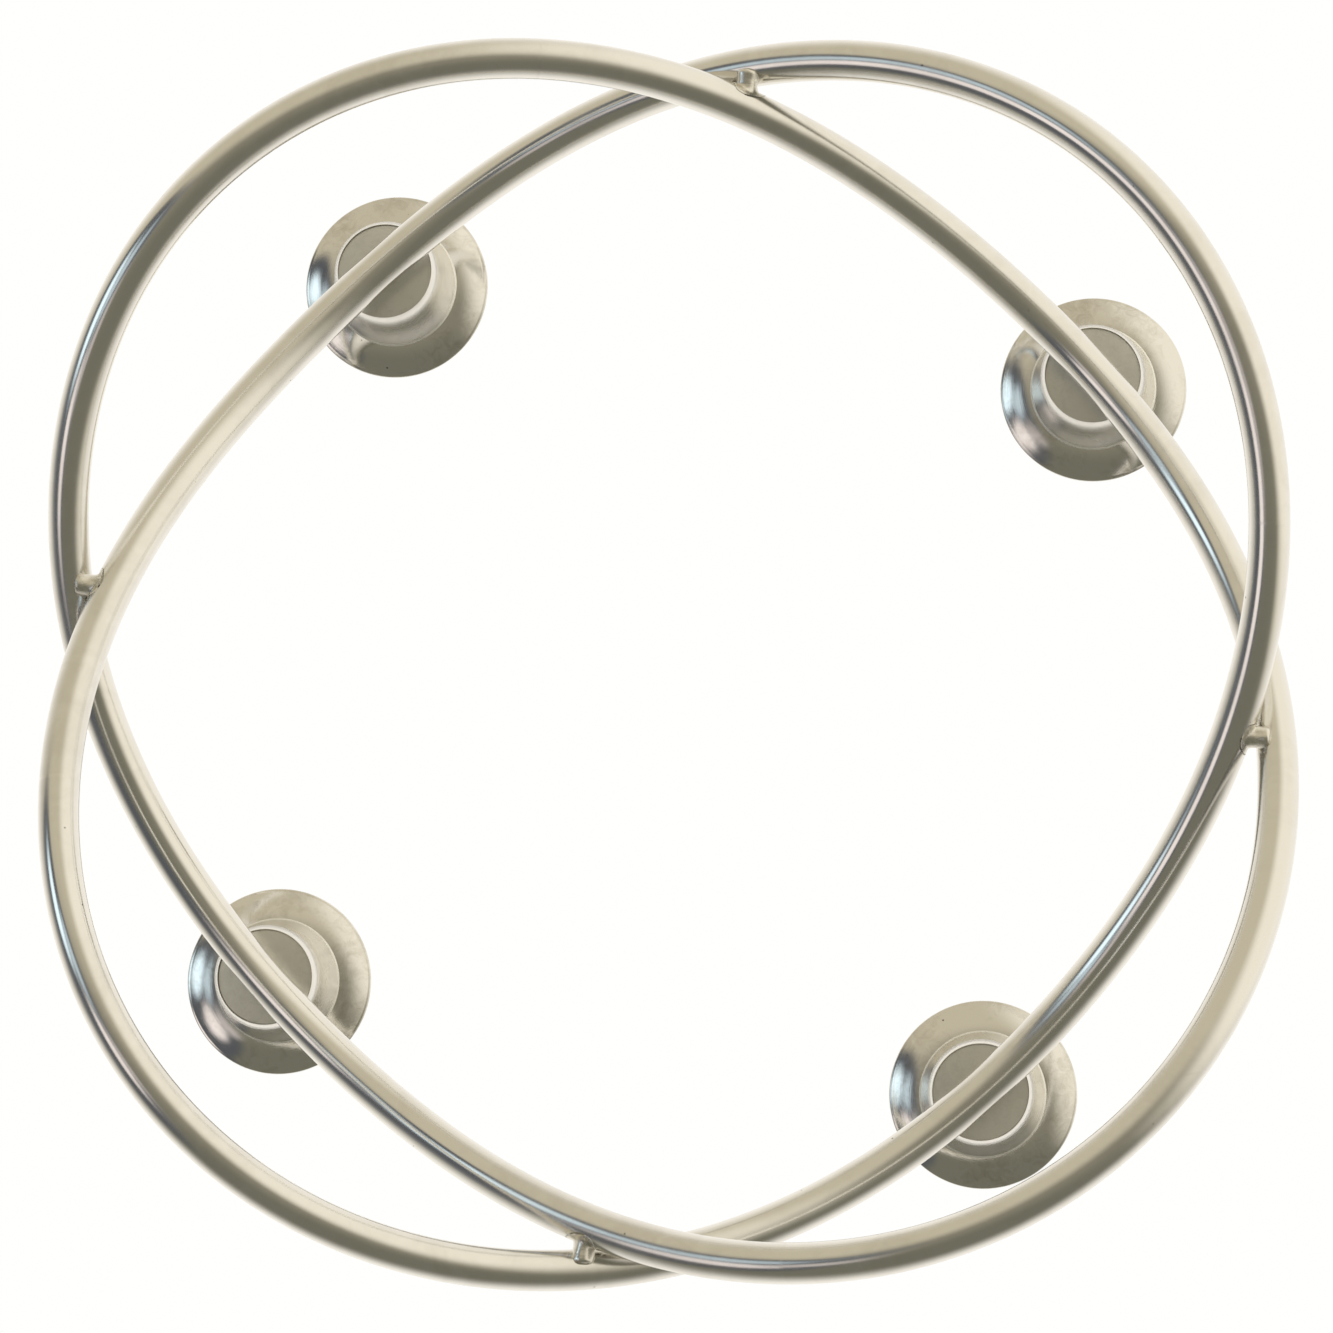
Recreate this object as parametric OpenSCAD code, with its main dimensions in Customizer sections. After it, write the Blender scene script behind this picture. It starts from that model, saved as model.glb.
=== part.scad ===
// Wreath frame for four candles: two closed oval rings of round stainless tube, bent into a
// gentle wave and woven over and under each other. A candle cup with a drip pan stands on each
// crest, and a short pin ties the two rings together beside each crossing.

/* [Rings] */
// Outside diameter of the ring tube
tube_d = 10; // [8:0.5:12]
// Wall thickness of the ring tube
tube_wall = 1; // [0.6:0.1:1.5]
// Mean radius of each oval, at the tube's centreline
ring_r = 144.4; // [120:0.1:180]
// How far the oval's long ends reach past the mean radius
oval_reach = 16.6; // [13:0.1:22]
// How far each ring rises and dips from its middle height
wave_h = 29; // [22:0.5:40]
// Clear gap between the two tubes where they pass closest
ring_gap = 0.8; // [0.4:0.1:2]
// Angle from a ring's long end to its first butt seam
seam_turn = 35; // [20:1:40]
// Width of each butt seam, along the tube
seam_w = 0.8; // [0.5:0.1:1.5]

/* [Candle cups] */
// Diameter of the socket that holds the candle
socket_d = 23.4; // [20:0.2:30]
// Wall thickness of the cup
cup_wall = 1.5; // [1.2:0.1:2]
// Height from the cup's foot to the shoulder that carries the pan
cup_h = 20.2; // [16:0.2:28]
// Height of the straight part of the cup, above its foot
socket_h = 9; // [6:0.5:12]
// How far the cup's mouth flares out on each side
cup_flare = 2.9; // [1.5:0.1:4]
// Thickness of the base plate let into the cup's foot
base_t = 1.5; // [1:0.1:2.5]
// How far the plate's seat is cut back into the wall
seat_step = 0.25; // [0.15:0.05:0.4]
// How far the plate's face lies inside the foot's edge
base_recess = 0.15; // [0.1:0.05:0.4]
// Width of the sloping band round the foot
foot_slope_w = 1.1; // [0.6:0.1:1.1]
// Height of the sloping band round the foot
foot_slope_h = 2.4; // [1:0.1:3]
// Diameter of the weld pad between the base plate and the tube
pad_d = 8; // [5:0.5:9]
// Width of the lip under the pan
lip_w = 0.5; // [0.3:0.1:0.8]
// Thickness of the lip under the pan
lip_t = 0.6; // [0.4:0.1:1]

/* [Drip pans] */
// Outside diameter of the drip pan
pan_d = 47.6; // [42:0.2:60]
// How far the pan's edge stands above its hole
pan_rise = 2.8; // [1:0.1:5]
// Share of that rise that is even; the rest comes near the edge
pan_even = 0.3; // [0.2:0.05:1]
// Sheet thickness of the pan
pan_t = 1; // [0.6:0.1:1.5]
// Width of the cup shoulder that the pan sits on
shoulder_w = 0.5; // [0.3:0.1:0.8]

/* [Bridge pins] */
// Diameter of the pin between the rings
pin_d = 4.6; // [3:0.1:6]
// How far past the tubes' closest point the pin stands, round the frame in degrees
pin_shift = 1.4; // [0:0.1:2]
// How far the pin's far end lies below the outer tube's centreline
pin_drop = 3.6; // [2:0.1:5]
// How far short of the outer tube's centreline the pin stops
pin_short = 1.6; // [0:0.1:3]
// How far the weld fillet spreads round the pin on the inner tube
pin_fillet = 1.3; // [0.8:0.1:2]
// How far the weld bead spreads over the pin's far end
bead_w = 0.9; // [0.5:0.1:1.5]

/* [Hidden] */

// Finishes
polished = "#c9c4b4";
satin = "#8f8d84";
weld_metal = "#b3ad9c";

// Smoothness
turn_fn = 72;
tube_sides = 20;
half_steps = 48;
fillet_steps = 5;
pan_steps = 6;

// Small clearances
fit = 0.05;
weld_fit = 0.02;
pad_gap = 0.1;

// How far the pad laps down the tube's sides, the fillet's thickness at its toe, and how far a
// cup's collar stands above its pan's hole
pad_lap = 1.25;
fillet_toe = 0.3;
collar_proud = 0.2;

// Ring A lies with its long ends at 45 degrees, ring B a quarter turn further on.
tube_r = tube_d / 2;
bore_r = tube_r - tube_wall;
long_end = 45;

// The rings stand level with each other at weave_turn past each crossing. Their smallest distance
// there is the height of the slanted cross-section, which leaves ring_gap between the tubes.
closest = tube_d + ring_gap;
level_gap = closest * sqrt(pow(oval_reach, 2) + pow(wave_h, 2)) / wave_h;
weave_turn = asin(level_gap / (2 * oval_reach)) / 2;
closest_turn = weave_turn * pow(wave_h, 2) / (pow(oval_reach, 2) + pow(wave_h, 2));
pin_turn = closest_turn + pin_shift;
crest_turn = long_end - 90 + weave_turn;
middle_z = wave_h + tube_r;

// A ring's centreline at angle a; ring 0 is A and ring 1 is B.
function radius_at(a) = ring_r + oval_reach * cos(2 * (a - long_end));
function height_at(a) = middle_z + wave_h * cos(2 * (a - crest_turn));
function spin(p, a) = [p[0] * cos(a) - p[1] * sin(a), p[0] * sin(a) + p[1] * cos(a), p[2]];
function ring_a(a) = [radius_at(a) * cos(a), radius_at(a) * sin(a), height_at(a)];
function centre_at(ring, a) = spin(ring_a(a - 90 * ring), 90 * ring);
function unit(v) = v / norm(v);
function along_at(ring, a) = unit(centre_at(ring, a + 0.05) - centre_at(ring, a - 0.05));
function side_of(along) = unit(cross(along, [0, 0, 1]));

// Angle that a short length covers, measured along the tube at angle a
function turn_for(ring, a, length) =
    length / norm(centre_at(ring, a + 0.5) - centre_at(ring, a - 0.5));

// Points of one round section of the tube, square to its centreline
function section(ring, a, r, sides) =
    let (c = centre_at(ring, a), t = along_at(ring, a), s = side_of(t), u = cross(s, t))
    [for (k = [0:sides - 1]) c + r * (cos(k * 360 / sides) * u + sin(k * 360 / sides) * s)];

// Cup places: the crests of ring A, then those of ring B, in order round the frame
cup_r = socket_d / 2 + cup_wall;
function cup_turn(i) = crest_turn + 90 * i;
crest_r = radius_at(crest_turn);
seat_r = socket_d / 2 + seat_step;
mouth_r = cup_r + cup_flare;
collar_h = pan_t + collar_proud;
foot_z = middle_z + wave_h + tube_r + pad_gap - base_recess;

// The pin's line at bridge 1: from the centre of the inner tube, ring B's, to a point below the
// centreline of the outer one, ring A's
pin_foot = centre_at(1, pin_turn);
pin_under = centre_at(0, pin_turn) - [0, 0, pin_drop];
pin_line = unit(pin_under - pin_foot);
pin_len = norm(pin_under - pin_foot) - pin_short;

// Turns and moves a shape drawn along +Z so that it runs along a direction from a point
module aim(point, direction) {
    translate(point)
        rotate([0, acos(direction[2]), atan2(direction[1], direction[0])])
            children();
}

// One half of a ring: a hollow bent tube with square open ends
module ring_half(ring, half) {
    start = long_end + 90 * ring + seam_turn + 180 * half;
    trim = turn_for(ring, start, seam_w / 2);
    step = (180 - 2 * trim) / half_steps;
    angles = [for (n = [0:half_steps]) start + trim + n * step];
    outer = [for (a = angles) each section(ring, a, tube_r, tube_sides)];
    inner = [for (a = angles) each section(ring, a, bore_r, tube_sides)];
    count = len(outer);
    last = half_steps * tube_sides;
    skin = [
        for (n = [0:half_steps - 1], k = [0:tube_sides - 1])
            let (j = (k + 1) % tube_sides, p = n * tube_sides, q = p + tube_sides)
            [p + k, p + j, q + j, q + k]
    ];
    lining = [for (f = skin) [f[3] + count, f[2] + count, f[1] + count, f[0] + count]];
    ends = [
        for (k = [0:tube_sides - 1])
            let (j = (k + 1) % tube_sides)
            each [
                [k, k + count, j + count, j],
                [last + k, last + j, last + j + count, last + k + count]
            ]
    ];
    color(polished)
        polyhedron(points = concat(outer, inner), faces = concat(skin, lining, ends), convexity = 8);
}

// The dressed butt weld that closes a ring between its two halves
module ring_seam(ring, end) {
    a = long_end + 90 * ring + seam_turn + 180 * end;
    length = seam_w - 2 * weld_fit;
    color(weld_metal)
        aim(centre_at(ring, a), along_at(ring, a))
            translate([0, 0, -length / 2])
                rotate_extrude($fn = turn_fn)
                    translate([bore_r, 0])
                        square([tube_wall, length]);
}

// Places a shape on the foot plane of cup i, with +X along the tube under it
module at_cup(i) {
    turn = cup_turn(i);
    translate([crest_r * cos(turn), crest_r * sin(turn), foot_z])
        rotate(turn + 90)
            children();
}

// The candle cup: a straight socket that flares to a lip and a collar, stepped at the foot for its
// base plate
module candle_cup(i) {
    bore = socket_d / 2;
    floor_h = base_recess + base_t;
    flare_h = cup_h - lip_t - socket_h;
    outline = [
        [seat_r, 0],
        [cup_r - foot_slope_w, 0],
        [cup_r, foot_slope_h],
        for (n = [0:fillet_steps])
            let (f = n / fillet_steps)
            [cup_r + (cup_flare - lip_w) * pow(f, 2), socket_h + flare_h * f],
        [mouth_r, cup_h - lip_t],
        [mouth_r, cup_h],
        [mouth_r - shoulder_w, cup_h],
        [mouth_r - shoulder_w, cup_h + collar_h],
        [mouth_r - cup_wall, cup_h + collar_h],
        for (n = [fillet_steps:-1:0])
            let (f = n / fillet_steps)
            [bore + cup_flare * pow(f, 2), socket_h + (cup_h - socket_h) * f],
        [bore, floor_h],
        [seat_r, floor_h]
    ];
    color(polished)
        at_cup(i)
            rotate_extrude($fn = turn_fn)
                polygon(outline);
}

// The flat base plate, let into the cup's foot and resting on the tube
module cup_base(i) {
    color(satin)
        at_cup(i)
            translate([0, 0, base_recess])
                cylinder(h = base_t, r = seat_r - fit, $fn = turn_fn);
}

// The drip pan: a shallow dished ring that sits on the cup's shoulder, with a rounded edge
module drip_pan(i) {
    hole = mouth_r - shoulder_w + fit;
    edge = pan_d / 2 - pan_t / 2;
    face = [
        for (n = [0:pan_steps])
            let (f = n / pan_steps)
            [hole + (edge - hole) * f, pan_rise * (pan_even * f + (1 - pan_even) * pow(f, 2))]
    ];
    outline = [
        each face,
        for (n = [1:fillet_steps - 1])
            let (a = -90 + 180 * n / fillet_steps)
            [edge + pan_t / 2 * cos(a), pan_rise + pan_t / 2 * (1 + sin(a))],
        for (n = [pan_steps:-1:0]) face[n] + [0, pan_t]
    ];
    color(polished)
        at_cup(i)
            translate([0, 0, cup_h])
                rotate_extrude($fn = turn_fn)
                    polygon(outline);
}

// The weld pad between the base plate and the crest of the tube
module cup_weld(i) {
    pad_h = pad_gap + pad_lap;
    color(weld_metal)
        at_cup(i)
            difference() {
                translate([0, 0, base_recess - pad_h])
                    cylinder(h = pad_h, d = pad_d, $fn = turn_fn);
                translate([0, 0, base_recess - pad_gap - tube_r])
                    rotate([0, 90, 0])
                        cylinder(h = 2 * tube_d, r = tube_r + weld_fit, center = true, $fn = turn_fn);
            }
}

// Both ring tubes beside bridge 1, as straight bars that shape what lies between them
module tube_bars() {
    for (ring = [0, 1])
        aim(centre_at(ring, pin_turn), along_at(ring, pin_turn))
            cylinder(h = 4 * tube_d, r = tube_r + weld_fit, center = true, $fn = turn_fn);
}

// The short pin beside crossing i, from the inner tube's side to the outer tube's underside
module bridge_pin(i) {
    color(polished)
        rotate(90 * i)
            difference() {
                aim(pin_foot, pin_line)
                    cylinder(h = pin_len, d = pin_d, $fn = turn_fn);
                tube_bars();
            }
}

// The two welds of a pin: a fillet round its foot on the inner tube and a bead over its far end
module bridge_weld(i) {
    hole_r = pin_d / 2 + weld_fit;
    toe_r = pin_d / 2 + fillet_toe;
    outline = [
        [hole_r, 0],
        [toe_r + pin_fillet, 0],
        for (n = [0:fillet_steps])
            let (a = 90 * n / fillet_steps)
            [toe_r + pin_fillet * (1 - sin(a)), tube_r + pin_fillet * (1 - cos(a))],
        [hole_r, tube_r + pin_fillet]
    ];
    color(weld_metal)
        rotate(90 * i) {
            difference() {
                aim(pin_foot, pin_line)
                    rotate_extrude($fn = turn_fn)
                        polygon(outline);
                tube_bars();
            }
            difference() {
                aim(pin_foot, pin_line)
                    translate([0, 0, pin_len])
                        sphere(r = pin_d / 2 + bead_w, $fn = turn_fn);
                aim(pin_foot, pin_line)
                    cylinder(h = pin_len + weld_fit, r = hole_r, $fn = turn_fn);
                tube_bars();
            }
        }
}

for (h = [0, 1]) ring_half(0, h);
for (h = [0, 1]) ring_half(1, h);
for (h = [0, 1]) ring_seam(0, h);
for (h = [0, 1]) ring_seam(1, h);
for (i = [0:3]) candle_cup(i);
for (i = [0:3]) cup_base(i);
for (i = [0:3]) drip_pan(i);
for (i = [0:3]) cup_weld(i);
for (i = [0:3]) bridge_pin(i);
for (i = [0:3]) bridge_weld(i);
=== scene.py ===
# %% [markdown]
# # A wreath frame for four candles
# The real object is two oval rings of polished steel tube, woven over and under each other, with a
# candle cup on each crest. Everything is welded, so the whole frame is one rigid body. We load the
# finished construction first: it gives the true place of every part, and our job is the surface.

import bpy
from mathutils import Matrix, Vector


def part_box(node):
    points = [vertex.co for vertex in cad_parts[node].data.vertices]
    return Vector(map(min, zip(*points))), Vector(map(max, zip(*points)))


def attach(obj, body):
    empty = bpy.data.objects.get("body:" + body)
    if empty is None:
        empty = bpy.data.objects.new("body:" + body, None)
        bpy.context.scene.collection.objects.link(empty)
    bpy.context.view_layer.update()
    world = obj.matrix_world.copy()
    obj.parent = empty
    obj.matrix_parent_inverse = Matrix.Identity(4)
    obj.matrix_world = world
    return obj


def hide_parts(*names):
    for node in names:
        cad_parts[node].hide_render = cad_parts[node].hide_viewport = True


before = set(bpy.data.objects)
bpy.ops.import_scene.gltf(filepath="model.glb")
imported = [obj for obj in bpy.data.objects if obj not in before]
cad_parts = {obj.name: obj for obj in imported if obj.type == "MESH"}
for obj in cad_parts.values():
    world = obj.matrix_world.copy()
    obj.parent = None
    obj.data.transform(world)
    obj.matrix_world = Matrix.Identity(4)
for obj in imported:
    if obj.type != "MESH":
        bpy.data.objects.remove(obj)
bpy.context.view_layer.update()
print("parts in the frame:", len(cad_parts))

# %% [markdown]
# ## Helpers and units
# Blender works in metres and the maker's sizes are in millimetres, so one constant converts them.
# A bmesh is Blender's editable mesh in memory. When a shape is done we turn it into an object whose
# origin is the world's origin, so that the mesh itself says where the piece is.

# %% Helpers
import math

import bmesh
import bpy
from mathutils import Matrix, Vector, noise

MM = 0.001
scene = bpy.context.scene


def finish_piece(name, bm, material, slot, *nodes):
    """Makes an object of a bmesh, in place of the frame's nodes of the same part."""
    mesh = bpy.data.meshes.new(name)
    bmesh.ops.recalc_face_normals(bm, faces=bm.faces)
    for face in bm.faces:
        face.smooth = True
    bm.to_mesh(mesh)
    bm.free()
    mesh.materials.append(material)
    piece = bpy.data.objects.new(name, mesh)
    scene.collection.objects.link(piece)
    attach(piece, "root")
    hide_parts(*nodes)
    return piece


# %% [markdown]
# ## Node groups for the finish
# Polished steel isn't perfectly even. Three effects are shared by all its parts, so each is a
# shader node group with named sockets: fine lines left by the polishing belt, the cloudy marks of
# handling, and a few small specks. A group puts out plain values, and each material decides how
# strongly to use them.

# %% A builder for node groups
def new_group(name, inputs, outputs):
    """An empty shader node group with float inputs, a vector input and the named outputs."""
    group = bpy.data.node_groups.new(name, "ShaderNodeTree")
    group.interface.new_socket("Vector", in_out="INPUT", socket_type="NodeSocketVector")
    for label, value in inputs.items():
        socket = group.interface.new_socket(label, in_out="INPUT", socket_type="NodeSocketFloat")
        socket.default_value = value
    for label in outputs:
        group.interface.new_socket(label, in_out="OUTPUT", socket_type="NodeSocketFloat")
    return group, group.nodes.new("NodeGroupInput"), group.nodes.new("NodeGroupOutput")


def add(tree, kind, **settings):
    """Adds a node and sets its properties; a name with a capital sets the input so called."""
    node = tree.nodes.new(kind)
    for key, value in settings.items():
        if key[0].isupper():
            node.inputs[key.replace("_", " ")].default_value = value
        else:
            setattr(node, key, value)
    return node


def join(tree, *pairs):
    """Links output to input, two by two."""
    for source, target in pairs:
        tree.links.new(source, target)


# %% [markdown]
# Polishing lines run along a tube and round a cup. Stretching a noise a lot in one direction turns
# its blobs into such lines. The vector's first value runs along the line, in metres.

# %% Polishing lines
def polishing_lines():
    group, given, result = new_group(
        "polishing_lines", {"Per metre": 5000.0, "Stretch": 60.0}, ["Lines"]
    )
    parts = add(group, "ShaderNodeSeparateXYZ")
    shorten = add(group, "ShaderNodeMath", operation="DIVIDE")
    rebuilt = add(group, "ShaderNodeCombineXYZ")
    fine = add(group, "ShaderNodeTexNoise", Detail=3.0, Roughness=0.6)
    join(
        group,
        (given.outputs["Vector"], parts.inputs[0]),
        (parts.outputs["X"], shorten.inputs[0]),
        (given.outputs["Stretch"], shorten.inputs[1]),
        (shorten.outputs[0], rebuilt.inputs["X"]),
        (parts.outputs["Y"], rebuilt.inputs["Y"]),
        (parts.outputs["Z"], rebuilt.inputs["Z"]),
        (rebuilt.outputs[0], fine.inputs["Vector"]),
        (given.outputs["Per metre"], fine.inputs["Scale"]),
        (fine.outputs["Fac"], result.inputs["Lines"]),
    )
    return group


LINES = polishing_lines()

# %% [markdown]
# Handling leaves soft, cloudy areas a few centimetres wide, with smaller smears inside them. Two
# noises of different size are multiplied, and a map range keeps only their upper part.

# %% Handling marks
def handling_marks():
    group, given, result = new_group(
        "handling_marks", {"Size": 0.03, "Amount": 0.5}, ["Clouds", "Smears"]
    )
    density = add(group, "ShaderNodeMath", operation="DIVIDE")
    density.inputs[0].default_value = 1.0
    wide = add(group, "ShaderNodeTexNoise", Detail=2.0, Roughness=0.5)
    finer = add(group, "ShaderNodeMath", operation="MULTIPLY")
    finer.inputs[1].default_value = 5.0
    small = add(group, "ShaderNodeTexNoise", Detail=4.0, Roughness=0.65, Distortion=0.8)
    clouds = add(group, "ShaderNodeMapRange", From_Min=0.40, From_Max=0.72)
    both = add(group, "ShaderNodeMath", operation="MULTIPLY")
    smears = add(group, "ShaderNodeMapRange", From_Min=0.22, From_Max=0.42)
    strong = add(group, "ShaderNodeMath", operation="MULTIPLY")
    join(
        group,
        (given.outputs["Size"], density.inputs[1]),
        (given.outputs["Vector"], wide.inputs["Vector"]),
        (density.outputs[0], wide.inputs["Scale"]),
        (density.outputs[0], finer.inputs[0]),
        (given.outputs["Vector"], small.inputs["Vector"]),
        (finer.outputs[0], small.inputs["Scale"]),
        (wide.outputs["Fac"], clouds.inputs["Value"]),
        (wide.outputs["Fac"], both.inputs[0]),
        (small.outputs["Fac"], both.inputs[1]),
        (both.outputs[0], smears.inputs["Value"]),
        (smears.outputs["Result"], strong.inputs[0]),
        (given.outputs["Amount"], strong.inputs[1]),
        (clouds.outputs["Result"], result.inputs["Clouds"]),
        (strong.outputs[0], result.inputs["Smears"]),
    )
    return group


MARKS = handling_marks()

# %% [markdown]
# Specks are the tiny dark pits and dust grains that polishing leaves behind. A Voronoi texture
# gives the distance to scattered points, and only a few of its cells are let through.

# %% Specks
def specks():
    group, given, result = new_group("specks", {"Per metre": 220.0, "Radius": 0.07}, ["Specks"])
    cells = add(group, "ShaderNodeTexVoronoi", Randomness=1.0)
    parts = add(group, "ShaderNodeSeparateColor")
    chosen = add(group, "ShaderNodeMath", operation="GREATER_THAN")
    chosen.inputs[1].default_value = 0.86
    near = add(group, "ShaderNodeMath", operation="LESS_THAN")
    both = add(group, "ShaderNodeMath", operation="MULTIPLY")
    join(
        group,
        (given.outputs["Vector"], cells.inputs["Vector"]),
        (given.outputs["Per metre"], cells.inputs["Scale"]),
        (cells.outputs["Color"], parts.inputs[0]),
        (parts.outputs["Red"], chosen.inputs[0]),
        (cells.outputs["Distance"], near.inputs[0]),
        (given.outputs["Radius"], near.inputs[1]),
        (chosen.outputs[0], both.inputs[0]),
        (near.outputs[0], both.inputs[1]),
        (both.outputs[0], result.inputs["Specks"]),
    )
    return group


SPECKS = specks()
print("finish groups:", [group.name for group in bpy.data.node_groups])

# %% [markdown]
# ## Steel materials
# A metal shows what surrounds it, so its own colour is pale and nearly neutral, and roughness does
# most of the work. One recipe serves all the steel: it takes a vector (the piece's own UV map, or
# Object coordinates), and mixes the three effects into Base Color, Roughness and a Bump.

# %% The steel recipe
CLEAN_STEEL = (0.83, 0.815, 0.775, 1.0)
DULL_STEEL = (0.62, 0.595, 0.54, 1.0)
SPECK_COLOUR = (0.16, 0.14, 0.12, 1.0)
BUMP_STRENGTH = 0.6


def steel(name, smooth, dull, uses_uv=True, clean=CLEAN_STEEL, worn=DULL_STEEL, lines=0.04,
          marks=0.35, mark_size=0.03, speck_radius=0.05, speck_density=220.0, line_density=5000.0,
          relief=0.00002):
    """A polished steel: roughness runs from smooth to dull where the marks are."""
    material = bpy.data.materials.new(name)
    material.use_nodes = True
    tree = material.node_tree
    shader = tree.nodes["Principled BSDF"]
    shader.inputs["Metallic"].default_value = 1.0
    place = add(tree, "ShaderNodeTexCoord")
    vector = place.outputs["UV"] if uses_uv else place.outputs["Object"]
    line = add(tree, "ShaderNodeGroup", node_tree=LINES, Per_metre=line_density)
    mark = add(tree, "ShaderNodeGroup", node_tree=MARKS, Size=mark_size, Amount=marks)
    speck = add(
        tree, "ShaderNodeGroup", node_tree=SPECKS, Radius=speck_radius, Per_metre=speck_density
    )
    worn_mix = add(tree, "ShaderNodeMix", data_type="RGBA")
    colour_sockets = [s for s in worn_mix.inputs if s.type == "RGBA"]
    colour_sockets[0].default_value = clean
    colour_sockets[1].default_value = worn
    speck_mix = add(tree, "ShaderNodeMix", data_type="RGBA")
    speck_sockets = [s for s in speck_mix.inputs if s.type == "RGBA"]
    speck_sockets[1].default_value = SPECK_COLOUR
    rough_line = add(
        tree, "ShaderNodeMapRange", To_Min=smooth - lines / 2, To_Max=smooth + lines / 2
    )
    rough_cloud = add(tree, "ShaderNodeMath", operation="MULTIPLY_ADD")
    rough_cloud.inputs[1].default_value = dull - smooth
    bump = add(tree, "ShaderNodeBump", Strength=BUMP_STRENGTH, Distance=relief)
    join(
        tree,
        (vector, line.inputs["Vector"]),
        (place.outputs["Object"], mark.inputs["Vector"]),
        (place.outputs["Object"], speck.inputs["Vector"]),
        (mark.outputs["Smears"], worn_mix.inputs["Factor"]),
        (speck.outputs["Specks"], speck_mix.inputs["Factor"]),
        (worn_mix.outputs[2], speck_sockets[0]),
        (speck_mix.outputs[2], shader.inputs["Base Color"]),
        (line.outputs["Lines"], rough_line.inputs["Value"]),
        (mark.outputs["Clouds"], rough_cloud.inputs[0]),
        (rough_line.outputs["Result"], rough_cloud.inputs[2]),
        (rough_cloud.outputs[0], shader.inputs["Roughness"]),
        (line.outputs["Lines"], bump.inputs["Height"]),
        (bump.outputs["Normal"], shader.inputs["Normal"]),
    )
    return material


# %% The eight finishes
FAINT_RELIEF = 0.000005
TUBE_STEEL = steel(
    "polished_tube", smooth=0.14, dull=0.23, marks=0.30, mark_size=0.045, relief=FAINT_RELIEF,
)
PIN_STEEL = steel(
    "polished_pin", smooth=0.16, dull=0.26, marks=0.3, mark_size=0.02, uses_uv=False,
    relief=FAINT_RELIEF,
)
CUP_STEEL = steel("polished_cup", smooth=0.24, dull=0.32, marks=0.30, mark_size=0.02)
LIP_STEEL = steel("rolled_lip", smooth=0.50, dull=0.60, clean=(0.96, 0.95, 0.90, 1.0), marks=0.2)
PAN_STEEL = steel(
    "polished_pan", smooth=0.08, dull=0.17, marks=0.8, mark_size=0.014, speck_radius=0.08,
    speck_density=320.0,
)
BASE_STEEL = steel(
    "matt_base", smooth=0.34, dull=0.44, clean=(0.80, 0.79, 0.74, 1.0),
    worn=(0.66, 0.65, 0.60, 1.0), lines=0.08, marks=0.6, mark_size=0.008,
)
WELD_STEEL = steel(
    "weld_metal", smooth=0.18, dull=0.34, uses_uv=False, clean=(0.80, 0.775, 0.71, 1.0),
    lines=0.10, marks=0.8, mark_size=0.004, line_density=1500.0, relief=0.0001,
)
SEAM_STEEL = steel("dressed_seam", smooth=0.16, dull=0.26, marks=0.5, mark_size=0.02)
FINISHES = (
    TUBE_STEEL, PIN_STEEL, CUP_STEEL, LIP_STEEL, PAN_STEEL, BASE_STEEL, WELD_STEEL, SEAM_STEEL,
)
print("steel finishes:", [finish.name for finish in FINISHES])

# %% [markdown]
# ## Where the cups and crests are
# The frame's boxes give the cups' places and sizes. A cup stands on the crest of its ring, so the
# first cup's angle is also the angle of ring A's crest.

# %% Measure the frame
def box_of(node):
    low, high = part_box(node)
    return Vector(low), Vector(high)


def centre_and_radius(node):
    """The middle of an upright round part, seen from above, and its radius."""
    low, high = box_of(node)
    return (low + high) / 2, (high.x - low.x) / 2


CUPS = [centre_and_radius(f"candle_cup_{n}")[0] for n in range(1, 5)]
FOOT_Z = box_of("candle_cup_1")[0].z
MOUTH_R = centre_and_radius("candle_cup_1")[1]
COLLAR_Z = box_of("candle_cup_1")[1].z
BASE_LOW, BASE_HIGH = (corner.z for corner in box_of("cup_base_1"))
BASE_R = centre_and_radius("cup_base_1")[1]
PAN_LOW, PAN_HIGH = (corner.z for corner in box_of("drip_pan_1"))
PAN_R = centre_and_radius("drip_pan_1")[1]
CREST_TURN = math.atan2(CUPS[0].y, CUPS[0].x)
print("first crest at", round(math.degrees(CREST_TURN), 2), "degrees")
print("foot at", round(FOOT_Z / MM, 2), "mm")

# %% [markdown]
# ## The ring's centreline
# Seen from above each ring is an oval, a circle whose radius swells twice a turn. Seen from the
# side it is a wave that rises and falls twice a turn. Ring B is ring A turned a quarter. The three
# driving sizes below are the maker's, and the wave's height comes from the frame.

# %% Centreline
TUBE_R = 5.0 * MM
RING_R = 144.4 * MM
OVAL_REACH = 16.6 * MM
LONG_END = math.radians(45)
SEAM_TURN = math.radians(35)
QUARTER = math.pi / 2
ring_low = min(box_of(f"ring_a_half_{half}")[0].z for half in (1, 2))
ring_high = max(box_of(f"ring_a_half_{half}")[1].z for half in (1, 2))
MIDDLE_Z = (ring_low + ring_high) / 2
WAVE_H = (ring_high - ring_low) / 2 - TUBE_R


def centre(ring, turn):
    """A point of the centreline of ring 0 or 1, at an angle seen from above."""
    own = turn - ring * QUARTER
    radius = RING_R + OVAL_REACH * math.cos(2 * (own - LONG_END))
    height = MIDDLE_Z + WAVE_H * math.cos(2 * (own - CREST_TURN))
    return Vector((radius * math.cos(turn), radius * math.sin(turn), height))


def along(ring, turn):
    """The tube's direction there, from two points close by on either side."""
    step = 0.001
    return (centre(ring, turn + step) - centre(ring, turn - step)).normalized()


def section(ring, turn):
    """A matrix that puts a flat shape square across the tube, with its Y axis towards the top."""
    forward = along(ring, turn)
    side = forward.cross(Vector((0, 0, 1))).normalized()
    up = side.cross(forward)
    turned = Matrix((side, up, forward)).transposed().to_4x4()
    return Matrix.Translation(centre(ring, turn)) @ turned


print("wave", round(WAVE_H / MM, 2), "mm up and down about", round(MIDDLE_Z / MM, 2), "mm")

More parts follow.
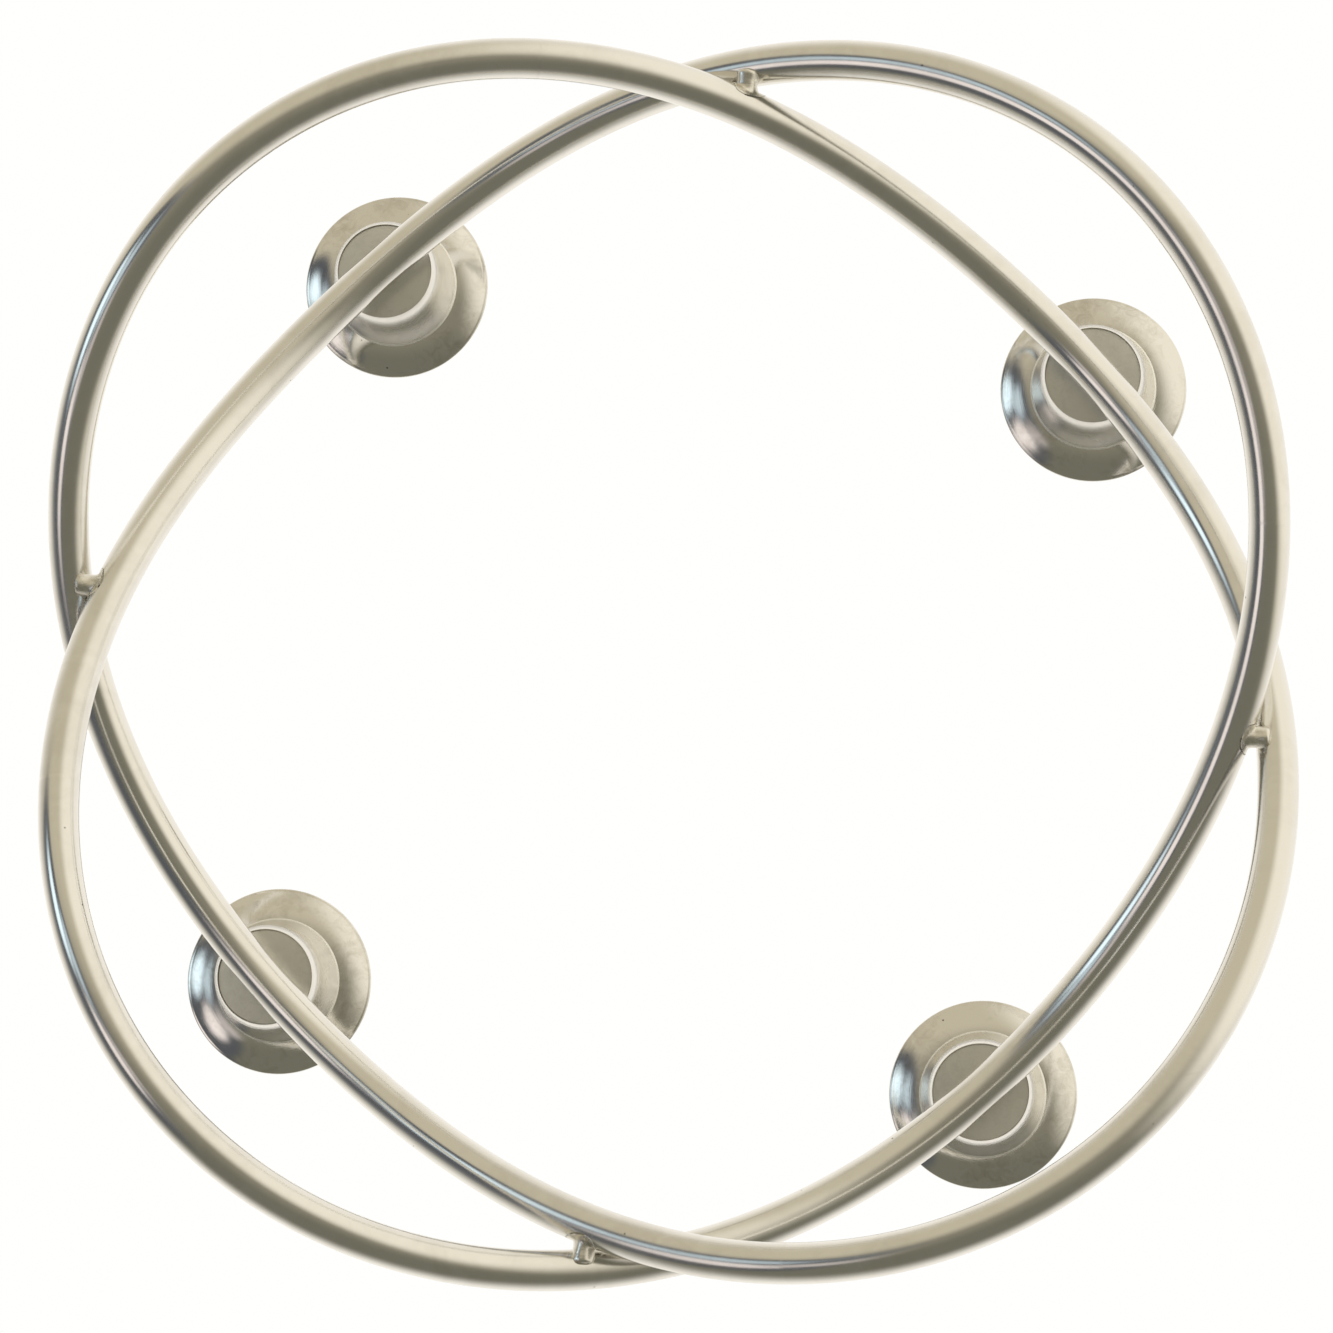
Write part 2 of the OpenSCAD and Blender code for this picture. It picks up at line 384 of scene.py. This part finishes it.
# %% [markdown]
# ## Bent tubes
# A sweep is made the way a tube grows in a bending machine: start with a circle, extrude its edges,
# and carry the new edges to the next place along the centreline. Sixty-four sides and a ring every
# couple of millimetres keep the long, thin reflections straight. A UV map in metres, along the tube
# and round it, lets the polishing lines follow the bend. Solidify then gives the wall.

# %% Sweep a tube
TUBE_SIDES = 64
HALF_STEPS = 200


def swept_tube(ring, turns, radius):
    """An open-ended skin along a ring, with a UV map in metres."""
    bm = bmesh.new()
    uv = bm.loops.layers.uv.new("tube")
    bmesh.ops.create_circle(
        bm, segments=TUBE_SIDES, radius=radius, matrix=section(ring, turns[0])
    )
    edges = bm.edges[:]
    around = {vert: n for n, vert in enumerate(bm.verts)}
    travelled = dict.fromkeys(bm.verts, 0.0)
    length = 0.0
    for last, turn in zip(turns, turns[1:]):
        before = [vert for edge in edges for vert in edge.verts]
        grown = bmesh.ops.extrude_edge_only(bm, edges=edges)["geom"]
        edges = [part for part in grown if isinstance(part, bmesh.types.BMEdge)]
        verts = [part for part in grown if isinstance(part, bmesh.types.BMVert)]
        old_places = {vert.co.copy().freeze(): around[vert] for vert in before}
        length += (centre(ring, turn) - centre(ring, last)).length
        for vert in verts:
            around[vert] = old_places[vert.co.copy().freeze()]
            travelled[vert] = length
        move = section(ring, turn) @ section(ring, last).inverted()
        bmesh.ops.transform(bm, matrix=move, verts=verts)
        fresh = set(verts)
        edges = [edge for edge in edges if fresh.issuperset(edge.verts)]
    pitch = 2 * math.pi * radius / TUBE_SIDES
    for face in bm.faces:
        places = [around[loop.vert] for loop in face.loops]
        wraps = max(places) - min(places) > TUBE_SIDES / 2
        for loop, place in zip(face.loops, places):
            place += TUBE_SIDES if wraps and place < TUBE_SIDES / 2 else 0
            loop[uv].uv = (travelled[loop.vert], place * pitch)
    for edge in bm.edges:
        edge.smooth = not edge.is_boundary
    return bm


def even_turns(start, end, steps):
    return [start + (end - start) * n / steps for n in range(steps + 1)]


# %% Ring halves
TUBE_WALL = 1.0 * MM
SEAM_W = 0.8 * MM
for ring, letter in enumerate("ab"):
    for half in (0, 1):
        start = LONG_END + QUARTER * ring + SEAM_TURN + math.pi * half
        trim = SEAM_W / 2 / Vector(centre(ring, start)).xy.length
        bm = swept_tube(ring, even_turns(start + trim, start + math.pi - trim, HALF_STEPS), TUBE_R)
        name = f"ring_{letter}_half_{half + 1}"
        piece = finish_piece(f"{name}_tube", bm, TUBE_STEEL, "polished_tube", name)
        wall = piece.modifiers.new("wall", "SOLIDIFY")
        wall.thickness = TUBE_WALL
        wall.offset = -1.0
        print(name, "faces", len(piece.data.polygons))

# %% [markdown]
# ## Butt seams
# Where two halves meet, the welder fills the gap and dresses it flush, which leaves a band that is
# hardly visible. It is a very short sweep of the same tube.

# %% Seams
for ring, letter in enumerate("ab"):
    for end in (0, 1):
        turn = LONG_END + QUARTER * ring + SEAM_TURN + math.pi * end
        trim = SEAM_W / 2 / Vector(centre(ring, turn)).xy.length
        bm = swept_tube(ring, even_turns(turn - trim, turn + trim, 4), TUBE_R)
        name = f"ring_{letter}_seam_{end + 1}"
        piece = finish_piece(f"{name}_band", bm, SEAM_STEEL, "weld_metal", name)
        wall = piece.modifiers.new("wall", "SOLIDIFY")
        wall.thickness = TUBE_WALL
        wall.offset = -1.0
print("four seams")

# %% [markdown]
# ## Turned parts
# Cups, plates and pans are spun on a lathe, so one helper spins a closed outline round an upright
# axis. Bevelling the circular edges gives the small rounded edges that catch a line of light. On the
# cups and plates a Weighted Normal modifier keeps the broad faces flat-looking next to them.

# %% Spin an outline
SPIN_STEPS = 128
CORNER = math.radians(25)
BEVEL_STEPS = 4


def spun(outline, middle, rounding):
    """A closed outline of (radius, height) points, spun round the upright axis through middle."""
    bm = bmesh.new()
    verts = [bm.verts.new((middle.x + r, middle.y, z)) for r, z in outline]
    edges = [bm.edges.new(pair) for pair in zip(verts, verts[1:] + verts[:1])]
    bmesh.ops.spin(
        bm, geom=verts + edges, cent=(middle.x, middle.y, 0), axis=(0, 0, 1),
        angle=2 * math.pi, steps=SPIN_STEPS, use_merge=True,
    )
    bmesh.ops.remove_doubles(bm, verts=bm.verts, dist=1e-7)
    bmesh.ops.recalc_face_normals(bm, faces=bm.faces)
    corners = [edge for edge in bm.edges if edge.calc_face_angle(0) > CORNER]
    bmesh.ops.bevel(
        bm, geom=corners, offset=rounding, segments=BEVEL_STEPS, profile=0.5, affect="EDGES",
        material=-1, clamp_overlap=True,
    )
    uv = bm.loops.layers.uv.new("turned")
    for face in bm.faces:
        mid = math.atan2(*(face.calc_center_median() - middle).yx)
        for loop in face.loops:
            offset = loop.vert.co - middle
            angle = math.atan2(offset.y, offset.x)
            angle += 2 * math.pi * round((mid - angle) / (2 * math.pi))
            flat = offset.xy.length
            loop[uv].uv = (angle * flat, flat + offset.z)
    return bm


def flat_look(piece):
    weighted = piece.modifiers.new("flat faces", "WEIGHTED_NORMAL")
    weighted.keep_sharp = True
    weighted.weight = 80


# %% [markdown]
# ## Candle cups
# The cup's wall is nearly upright where the candle sits, and flares towards a shoulder that carries
# the drip pan. Its foot is open, with a bright rounded edge, and the matt base plate is let into it.
# A narrow lip just under the pan has a rougher finish of its own, so it reads as a thin pale line.

# %% Cups
WALL = 1.5 * MM
STRAIGHT = 9.0 * MM
FLARE = 2.9 * MM
SHOULDER = 0.5 * MM
FOOT_SLOPE_W, FOOT_SLOPE_H = 1.1 * MM, 2.4 * MM
LIP_W, LIP_H = 0.42 * MM, 0.35 * MM
SEAT_GAP = 0.05 * MM
ROUNDING = 0.12 * MM
CUP_R = MOUTH_R - FLARE
SEAT_R = BASE_R + SEAT_GAP
FLARE_STEPS = 10


def flared(radius, reach, top):
    """Points up the cup's wall, from the end of its straight part to the top."""
    steps = [n / FLARE_STEPS for n in range(FLARE_STEPS + 1)]
    base = FOOT_Z + STRAIGHT
    return [(radius + reach * f**2, base + (top - base) * f) for f in steps]


outer_wall = flared(CUP_R, FLARE - LIP_W, PAN_LOW - LIP_H)
inner_wall = flared(CUP_R - WALL, FLARE, PAN_LOW)
cup_outline = (
    [(SEAT_R, FOOT_Z), (CUP_R - FOOT_SLOPE_W, FOOT_Z), (CUP_R, FOOT_Z + FOOT_SLOPE_H)]
    + outer_wall
    + [(MOUTH_R, PAN_LOW), (MOUTH_R - SHOULDER, PAN_LOW), (MOUTH_R - SHOULDER, COLLAR_Z)]
    + [(MOUTH_R - WALL, COLLAR_Z)]
    + inner_wall[::-1]
    + [(CUP_R - WALL, BASE_HIGH), (SEAT_R, BASE_HIGH)]
)
for n, middle in enumerate(CUPS, 1):
    bm = spun(cup_outline, Vector((middle.x, middle.y, 0)), ROUNDING)
    piece = finish_piece(f"candle_cup_{n}_spun", bm, CUP_STEEL, "polished_cup", f"candle_cup_{n}")
    piece.data.materials.append(LIP_STEEL)
    for face in piece.data.polygons:
        out = (face.center - Vector((middle.x, middle.y, face.center.z))).length
        at_lip_height = PAN_LOW - LIP_H - ROUNDING < face.center.z < PAN_LOW
        face.material_index = int(at_lip_height and out > MOUTH_R - LIP_W - ROUNDING)
    flat_look(piece)
print("cup foot", round(2 * CUP_R / MM, 2), "mm across, faces", len(piece.data.polygons))

# %% [markdown]
# ## Base plates
# A plain disc of matt sheet. Its face bulges very slightly, as sheet does after it has been pressed
# in, so its tone changes gently from one side to the other.

# %% Plates
DISH = 0.45 * MM
PLATE_EDGE = 0.15 * MM
ON_AXIS = 1e-6
plate_rings = [0.0, 0.2, 0.4, 0.6, 0.8, 1.0]
plate_outline = (
    [(max(BASE_R * f, ON_AXIS), BASE_LOW + DISH * f**2) for f in plate_rings]
    + [(BASE_R, BASE_HIGH), (ON_AXIS, BASE_HIGH)]
)
for n, middle in enumerate(CUPS, 1):
    bm = spun(plate_outline, Vector((middle.x, middle.y, 0)), PLATE_EDGE)
    piece = finish_piece(f"cup_base_{n}_plate", bm, BASE_STEEL, "satin_base", f"cup_base_{n}")
    flat_look(piece)
print("plates", round(2 * BASE_R / MM, 2), "mm across")

# %% [markdown]
# ## Drip pans
# The pan is spun from thin sheet: nearly flat by the cup and steeper towards its rounded edge. That
# gentle curve spreads the reflections across it.

# %% Pans
PAN_T = 1.0 * MM
HOLE_R = MOUTH_R - SHOULDER + SEAT_GAP
EDGE_R = PAN_R - PAN_T / 2
PAN_RISE = PAN_HIGH - PAN_LOW - PAN_T
EVEN_RISE = 0.3
PAN_STEPS = 24
EDGE_STEPS = 8


def pan_curve(f):
    """Height of the pan's lower face at a share f of the way out: gentle first, then steeper."""
    return PAN_LOW + PAN_RISE * (EVEN_RISE * f + (1 - EVEN_RISE) * f**2)


shares = [n / PAN_STEPS for n in range(PAN_STEPS)]
lower = [(HOLE_R + (EDGE_R - HOLE_R) * f, pan_curve(f)) for f in shares]
edge_mid = pan_curve(1) + PAN_T / 2
half_turn = [math.pi * n / EDGE_STEPS for n in range(EDGE_STEPS + 1)]
turned_edge = [
    (EDGE_R + PAN_T / 2 * math.sin(a), edge_mid - PAN_T / 2 * math.cos(a)) for a in half_turn
]
upper = [(r, z + PAN_T) for r, z in lower[::-1]]
for n, middle in enumerate(CUPS, 1):
    bm = spun(lower + turned_edge + upper, Vector((middle.x, middle.y, 0)), ROUNDING)
    finish_piece(f"drip_pan_{n}_spun", bm, PAN_STEEL, "polished_pan", f"drip_pan_{n}")
print("pans", round(2 * PAN_R / MM, 2), "mm across")

# %% [markdown]
# ## Bridges
# Beside each crossing a short pin is welded between the rings, from the inner tube's side to the
# underside of the outer one. The weld metal flows from the pin onto both tubes. Its skin starts as
# a wide circle round the pin's foot, which is extruded along the pin while it narrows to the waist,
# and closes in a short, blunt end on the outer tube. A little noise gives it a hand-made surface.
# Any point that would sink into a tube is carried out to the tube's skin, and smoothing blends it.

# %% The pin's line
PIN_R = 2.3 * MM
PIN_SHIFT = math.radians(1.4)
PIN_DROP = 3.6 * MM
PIN_SHORT = 1.6 * MM
LEAN = CREST_TURN + LONG_END
PIN_TURN = LEAN * WAVE_H**2 / (WAVE_H**2 + OVAL_REACH**2) + PIN_SHIFT
pin_foot = centre(1, PIN_TURN)
pin_under = centre(0, PIN_TURN) - Vector((0, 0, PIN_DROP))
pin_line = (pin_under - pin_foot).normalized()
PIN_LENGTH = (pin_under - pin_foot).length - PIN_SHORT
print("pin", round((PIN_LENGTH - TUBE_R) / MM, 2), "mm long outside the inner tube")

# %% Weld skins
FOOT_SPREAD = 1.9 * MM
BEAD_SPREAD = 0.12 * MM
WAIST_R = PIN_R + 0.45 * MM
FOOT_DEPTH = 0.6
TIP_START = 0.35
TIP_HEIGHT = 0.4
BLUNTNESS = 0.25
WELD_STEPS = 8
WELD_SIDES = 64
RIPPLE = 0.30 * MM
RIPPLES_PER_METRE = 380
SKIN_GAP = 0.02 * MM
BLEND_ROUNDS, BLEND = 3, 0.2


def weld_profile():
    """(radius, distance along the pin) from the flare on the inner tube to the blunt far end."""
    turns = [math.pi / 2 * n / WELD_STEPS for n in range(WELD_STEPS + 1)]
    bottom, waist = FOOT_DEPTH * TUBE_R, TUBE_R + 0.5 * FOOT_SPREAD
    flare = [
        (WAIST_R + FOOT_SPREAD * (1 - math.sin(a)), bottom + (waist - bottom) * (1 - math.cos(a)))
        for a in turns
    ]
    bead_r = WAIST_R + BEAD_SPREAD
    middle = PIN_LENGTH - TIP_START * bead_r
    gain = middle - waist
    swell = [
        (WAIST_R + BEAD_SPREAD * (1 - math.cos(2 * a)) / 2, waist + gain * a / (math.pi / 2))
        for a in turns[1:]
    ]
    tip = [
        (bead_r * math.cos(a) ** BLUNTNESS, middle + TIP_HEIGHT * bead_r * math.sin(a))
        for a in turns[1:-1]
    ]
    return flare + swell + tip


def weld_skin(number):
    """The weld metal of one bridge, 0 to 3."""
    spin = Matrix.Rotation(number * QUARTER, 4, "Z")
    upright = pin_line.to_track_quat("Z", "Y").to_matrix().to_4x4()
    place = spin @ Matrix.Translation(pin_foot) @ upright
    tubes = [
        (spin @ centre(ring, PIN_TURN), spin.to_3x3() @ along(ring, PIN_TURN)) for ring in (0, 1)
    ]
    profile = weld_profile()
    bm = bmesh.new()
    bmesh.ops.create_circle(bm, segments=WELD_SIDES, radius=profile[0][0])
    for vert in bm.verts:
        vert.co.z = profile[0][1]
    edges = bm.edges[:]
    for radius, height in profile[1:]:
        grown = bmesh.ops.extrude_edge_only(bm, edges=edges)["geom"]
        fresh = {part for part in grown if isinstance(part, bmesh.types.BMVert)}
        edges = [part for part in grown if isinstance(part, bmesh.types.BMEdge)]
        edges = [edge for edge in edges if fresh.issuperset(edge.verts)]
        for vert in fresh:
            flat = vert.co.xy.normalized() * radius
            vert.co = Vector((flat.x, flat.y, height))
    bmesh.ops.holes_fill(bm, edges=bm.edges, sides=WELD_SIDES)
    bmesh.ops.transform(bm, matrix=place, verts=bm.verts)
    for vert in bm.verts:
        axis_point = place.translation + (place.to_3x3() @ Vector((0, 0, 1))) * TUBE_R
        ripple = noise.noise(vert.co * RIPPLES_PER_METRE) * RIPPLE
        vert.co += (vert.co - axis_point).normalized() * ripple
    for _ in range(BLEND_ROUNDS):
        for vert in bm.verts:
            for middle, way in tubes:
                foot = middle + way * (vert.co - middle).dot(way)
                away = vert.co - foot
                if away.length < TUBE_R:
                    vert.co = foot + away.normalized() * (TUBE_R + SKIN_GAP)
        bmesh.ops.smooth_vert(
            bm, verts=bm.verts, factor=BLEND, use_axis_x=True, use_axis_y=True, use_axis_z=True
        )
    return bm


for n in range(4):
    node = f"bridge_weld_{n + 1}"
    finish_piece(f"{node}_skin", weld_skin(n), WELD_STEEL, "weld_metal", node)
print("four weld skins")

# %% [markdown]
# ## Parts kept from the frame
# The pins and the pads under the cups already have the right shape, and are mostly hidden. They
# only need a finish in place of their plain colour.

# %% Finish the kept parts
KEPT = {"bridge_pin": (PIN_STEEL, "polished_tube"), "cup_weld": (WELD_STEEL, "weld_metal")}
for stem, (material, slot_name) in KEPT.items():
    for n in range(1, 5):
        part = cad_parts[f"{stem}_{n}"]
        part.data.materials.clear()
        part.data.materials.append(material)
print("kept parts finished:", 4 * len(KEPT))

# %% [markdown]
# ## The room
# Polished steel is a picture of the room. The world paints a plain studio: white behind the frame,
# a bright cream wall on one side, beige above, dull olive below, and a dark side with a bluish and
# a pinkish window. Each area is a soft cone about a direction, laid over the ones before it, and
# the fainter cones beside the windows draw them out towards the lens. What the camera sees
# directly is plain white.
# Directions are written as (right, up, towards the lens) for someone who lies under the frame and
# looks up, because that is where the picture is taken from.

# %% Paint the world
def seen(right, up, near):
    """A direction for someone who looks up at the frame from below."""
    return Vector((-right, up, -near)).normalized()


ROOM = [
    # direction, full within, gone beyond (degrees), colour
    (seen(0.0, 1.0, 0.1), 52, 86, (0.62, 0.56, 0.43)),
    (seen(-0.15, -1.0, 0.2), 45, 78, (0.185, 0.18, 0.14)),
    (seen(-0.60, -0.01, 0.80), 12, 19, (0.19, 0.195, 0.195)),
    (seen(-0.87, -0.12, 0.47), 32, 39, (0.105, 0.11, 0.12)),
    (seen(0.9, 0.42, 0.1), 33, 68, (1.0, 0.94, 0.80)),
    (seen(-0.86, 0.14, 0.48), 5, 14, (1.10, 1.32, 1.45)),
    (seen(-0.66, 0.07, 0.75), 3, 11, (0.62, 0.74, 0.82)),
    (seen(-0.71, -0.29, 0.64), 6, 13, (1.05, 0.96, 0.93)),
    (seen(-0.50, -0.22, 0.84), 3, 10, (0.58, 0.53, 0.51)),
]
NEAR_COLOUR = (0.255, 0.238, 0.183, 1.0)
BEHIND_COLOUR = (1.04, 1.0, 0.93, 1.0)
BEHIND_FULL, BEHIND_GONE = 30, 110
WHITE = (1.0, 1.0, 0.985, 1.0)

world = bpy.data.worlds.new("studio")
scene.world = world
world.use_nodes = True
tree = world.node_tree
surface = tree.nodes["Background"]
place = add(tree, "ShaderNodeTexCoord")
paint = add(tree, "ShaderNodeRGB")
paint.outputs[0].default_value = NEAR_COLOUR
colour = paint.outputs[0]


def cone(way, inner, outer, tint, below):
    """Lays one soft area of colour over what is below it."""
    facing = add(tree, "ShaderNodeVectorMath", operation="DOT_PRODUCT")
    facing.inputs[1].default_value = way
    soft = add(
        tree, "ShaderNodeMapRange", interpolation_type="SMOOTHSTEP",
        From_Min=math.cos(math.radians(outer)), From_Max=math.cos(math.radians(inner)),
    )
    mix = add(tree, "ShaderNodeMix", data_type="RGBA")
    sockets = [s for s in mix.inputs if s.type == "RGBA"]
    sockets[1].default_value = (*tint[:3], 1.0)
    join(
        tree,
        (place.outputs["Generated"], facing.inputs[0]),
        (facing.outputs["Value"], soft.inputs["Value"]),
        (soft.outputs["Result"], mix.inputs["Factor"]),
        (below, sockets[0]),
    )
    return mix.outputs[2]


for way, inner, outer, tint in ROOM:
    colour = cone(way, inner, outer, tint, colour)
colour = cone(Vector((0, 0, 1)), BEHIND_FULL, BEHIND_GONE, BEHIND_COLOUR, colour)
path = add(tree, "ShaderNodeLightPath")
direct = add(tree, "ShaderNodeMix", data_type="RGBA")
direct_sockets = [s for s in direct.inputs if s.type == "RGBA"]
direct_sockets[1].default_value = WHITE
join(
    tree,
    (colour, direct_sockets[0]),
    (path.outputs["Is Camera Ray"], direct.inputs["Factor"]),
    (direct.outputs[2], surface.inputs["Color"]),
)
print("room areas:", len(ROOM) + 1)

# %% [markdown]
# ## Floor and lights
# The floor is a pale disc that the frame stands on. The picture is taken from below, so the floor
# must not hide the frame: its material is clear from underneath and clear to reflections, and plain
# matt when it is seen from above. Two large soft lights above model the cups and give soft shadows.
# Polished steel would show them as hard white lines, so they are hidden from reflections.

# %% Floor
FLOOR_R = 4.0
bm = bmesh.new()
bmesh.ops.create_circle(bm, cap_ends=True, segments=96, radius=FLOOR_R)
mesh = bpy.data.meshes.new("floor")
bm.to_mesh(mesh)
bm.free()
floor = bpy.data.objects.new("floor", mesh)
scene.collection.objects.link(floor)
floor_paint = bpy.data.materials.new("pale_floor")
floor_paint.use_nodes = True
tree = floor_paint.node_tree
tree.nodes.remove(tree.nodes["Principled BSDF"])
matt = add(tree, "ShaderNodeBsdfDiffuse", Color=(0.84, 0.84, 0.82, 1.0))
clear = add(tree, "ShaderNodeBsdfTransparent")
path = add(tree, "ShaderNodeLightPath")
side = add(tree, "ShaderNodeNewGeometry")
front = add(tree, "ShaderNodeMath", operation="SUBTRACT")
front.inputs[0].default_value = 1.0
shown = add(tree, "ShaderNodeMath", operation="MULTIPLY")
blend = add(tree, "ShaderNodeMixShader")
join(
    tree,
    (side.outputs["Backfacing"], front.inputs[1]),
    (front.outputs[0], shown.inputs[0]),
    (path.outputs["Is Camera Ray"], shown.inputs[1]),
    (shown.outputs[0], blend.inputs["Fac"]),
    (clear.outputs[0], blend.inputs[1]),
    (matt.outputs[0], blend.inputs[2]),
    (blend.outputs[0], tree.nodes["Material Output"].inputs["Surface"]),
)
mesh.materials.append(floor_paint)
print("floor", 2 * FLOOR_R, "m across")

# %% Lights
def soft_light(name, place, size, power, tint):
    """A square area light that faces the frame."""
    lamp = bpy.data.lights.new(name, "AREA")
    lamp.size = size
    lamp.energy = power
    lamp.color = tint
    light = bpy.data.objects.new(name, lamp)
    light.location = place
    towards = Vector((0, 0, MIDDLE_Z)) - light.location
    light.rotation_euler = towards.to_track_quat("-Z", "Y").to_euler()
    light.visible_glossy = False
    scene.collection.objects.link(light)


soft_light("key", (-0.9, -0.7, 1.3), 0.9, 16.0, (1.0, 0.98, 0.95))
soft_light("fill", (1.1, 0.6, 1.0), 1.2, 8.0, (0.96, 0.98, 1.0))

# %% [markdown]
# ## Camera
# A long lens from about 1.3 metres below, a few degrees off the upright, sees almost every part at
# its true shape. The camera's place, the point that it looks at and its roll set the picture.

# %% Place the camera
LENS = 142.8
CAMERA_PLACE = Vector((-0.1051, -0.1462, -1.2523))
LOOK_AT = Vector((0.0002, -0.0013, 0.0341))
PICTURE_UP = Vector((-0.0393, 0.9933, -0.1087))

lens = bpy.data.cameras.new("camera")
lens.lens = LENS
lens.sensor_width = 36.0
lens.clip_end = 50.0
camera = bpy.data.objects.new("camera", lens)
back = (CAMERA_PLACE - LOOK_AT).normalized()
right = PICTURE_UP.cross(back).normalized()
up = back.cross(right)
turned = Matrix((right, up, back)).transposed().to_4x4()
camera.matrix_world = Matrix.Translation(CAMERA_PLACE) @ turned
scene.collection.objects.link(camera)
scene.camera = camera
scene.view_settings.view_transform = "Standard"
print("camera", round((CAMERA_PLACE - LOOK_AT).length, 3), "m away")
